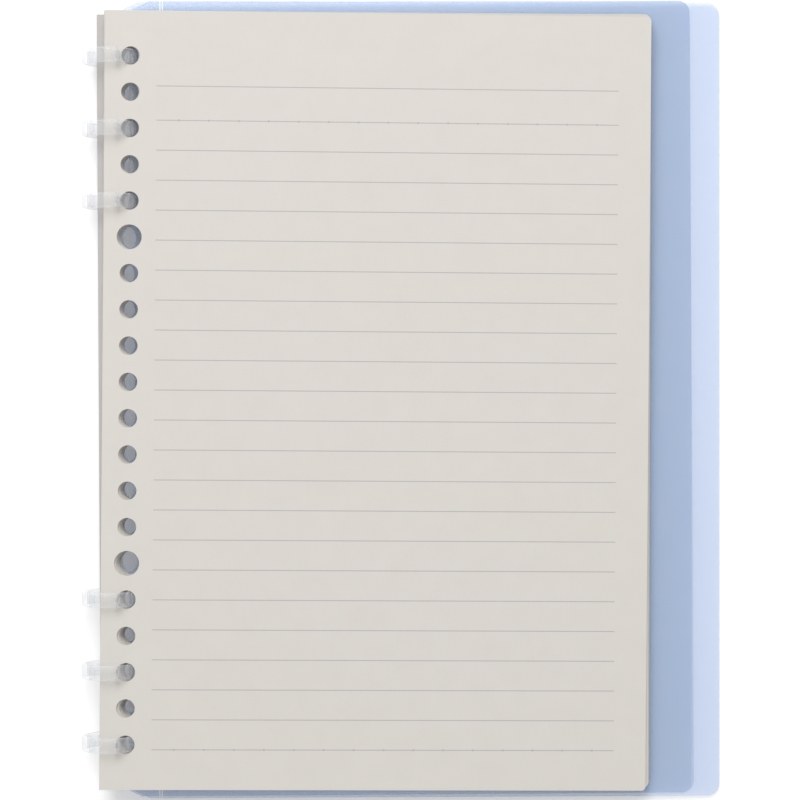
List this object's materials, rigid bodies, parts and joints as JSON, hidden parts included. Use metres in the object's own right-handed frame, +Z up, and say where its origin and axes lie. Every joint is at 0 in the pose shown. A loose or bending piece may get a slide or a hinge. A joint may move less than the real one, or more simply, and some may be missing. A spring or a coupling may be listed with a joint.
{
  "type": "ring binder",
  "caption": "Slim loose-leaf ring binder with clear ring units, translucent covers folded back and a pad of punched ruled leaves.",
  "frame": {"origin": "centre of the bottom of the bounding box, on the surface that the binder lies on", "axes": "+X across the leaves away from the rings, +Y up the page along the rings, +Z up from the surface"},
  "size_m": [0.1505, 0.1887, 0.013],
  "materials": {
    "clear_plastic": "clear, glossy moulded",
    "cover_sheet": "translucent, finely frosted",
    "leaf_paper": "uncoated, ruled",
    "backing_paper": "uncoated, plain"
  },
  "bodies": {
    "rings_and_back_cover": {"upper_ring_comb": "clear_plastic", "lower_ring_comb": "clear_plastic", "back_cover": "cover_sheet"},
    "pad": {"pad_leaves_1": "leaf_paper", "pad_leaves_2": "leaf_paper", "pad_leaves_3": "leaf_paper", "pad_leaves_4": "leaf_paper", "pad_leaves_5": "leaf_paper", "pad_leaves_6": "leaf_paper", "pad_leaves_7": "leaf_paper", "pad_leaves_8": "leaf_paper", "backing_sheet": "backing_paper"},
    "top_leaf": {"top_leaf": "leaf_paper"},
    "front_cover_strip": {"front_cover_strip": "cover_sheet"},
    "front_cover": {"front_cover": "cover_sheet"},
    "upper_gate_1": {"upper_gate_1": "clear_plastic"},
    "upper_gate_2": {"upper_gate_2": "clear_plastic"},
    "upper_gate_3": {"upper_gate_3": "clear_plastic"},
    "lower_gate_1": {"lower_gate_1": "clear_plastic"},
    "lower_gate_2": {"lower_gate_2": "clear_plastic"},
    "lower_gate_3": {"lower_gate_3": "clear_plastic"}
  },
  "joints": [
    {"name": "upper_gate_1_open", "type": "hinge", "parent": "rings_and_back_cover", "child": "upper_gate_1", "pos_m": [-0.06628, 0.08043, 0.0118], "axis": [0, -1, 0], "range_deg": [-70, 0]},
    {"name": "upper_gate_2_open", "type": "hinge", "parent": "rings_and_back_cover", "child": "upper_gate_2", "pos_m": [-0.06628, 0.0635, 0.0118], "axis": [0, -1, 0], "range_deg": [-70, 0]},
    {"name": "upper_gate_3_open", "type": "hinge", "parent": "rings_and_back_cover", "child": "upper_gate_3", "pos_m": [-0.06628, 0.04657, 0.0118], "axis": [0, -1, 0], "range_deg": [-70, 0]},
    {"name": "lower_gate_1_open", "type": "hinge", "parent": "rings_and_back_cover", "child": "lower_gate_1", "pos_m": [-0.06628, -0.04657, 0.0118], "axis": [0, -1, 0], "range_deg": [-70, 0]},
    {"name": "lower_gate_2_open", "type": "hinge", "parent": "rings_and_back_cover", "child": "lower_gate_2", "pos_m": [-0.06628, -0.0635, 0.0118], "axis": [0, -1, 0], "range_deg": [-70, 0]},
    {"name": "lower_gate_3_open", "type": "hinge", "parent": "rings_and_back_cover", "child": "lower_gate_3", "pos_m": [-0.06628, -0.08043, 0.0118], "axis": [0, -1, 0], "range_deg": [-70, 0]},
    {"name": "pad_turn", "type": "hinge", "parent": "rings_and_back_cover", "child": "pad", "pos_m": [-0.06876, 0, 0.0065], "axis": [0, -1, 0], "range_deg": [0, 170]},
    {"name": "top_leaf_turn", "type": "hinge", "parent": "pad", "child": "top_leaf", "pos_m": [-0.06876, 0, 0.0065], "axis": [0, 1, 0], "range_deg": [-170, 0]},
    {"name": "front_cover_travel", "type": "hinge", "parent": "rings_and_back_cover", "child": "front_cover_strip", "pos_m": [-0.06876, 0, 0.0065], "axis": [0, 1, 0], "range_deg": [0, 194]},
    {"name": "front_cover_fold", "type": "hinge", "parent": "front_cover_strip", "child": "front_cover", "pos_m": [-0.05917, 0, 0.00155], "axis": [-0.0052, 1, 0], "range_deg": [0, 166]}
  ]
}
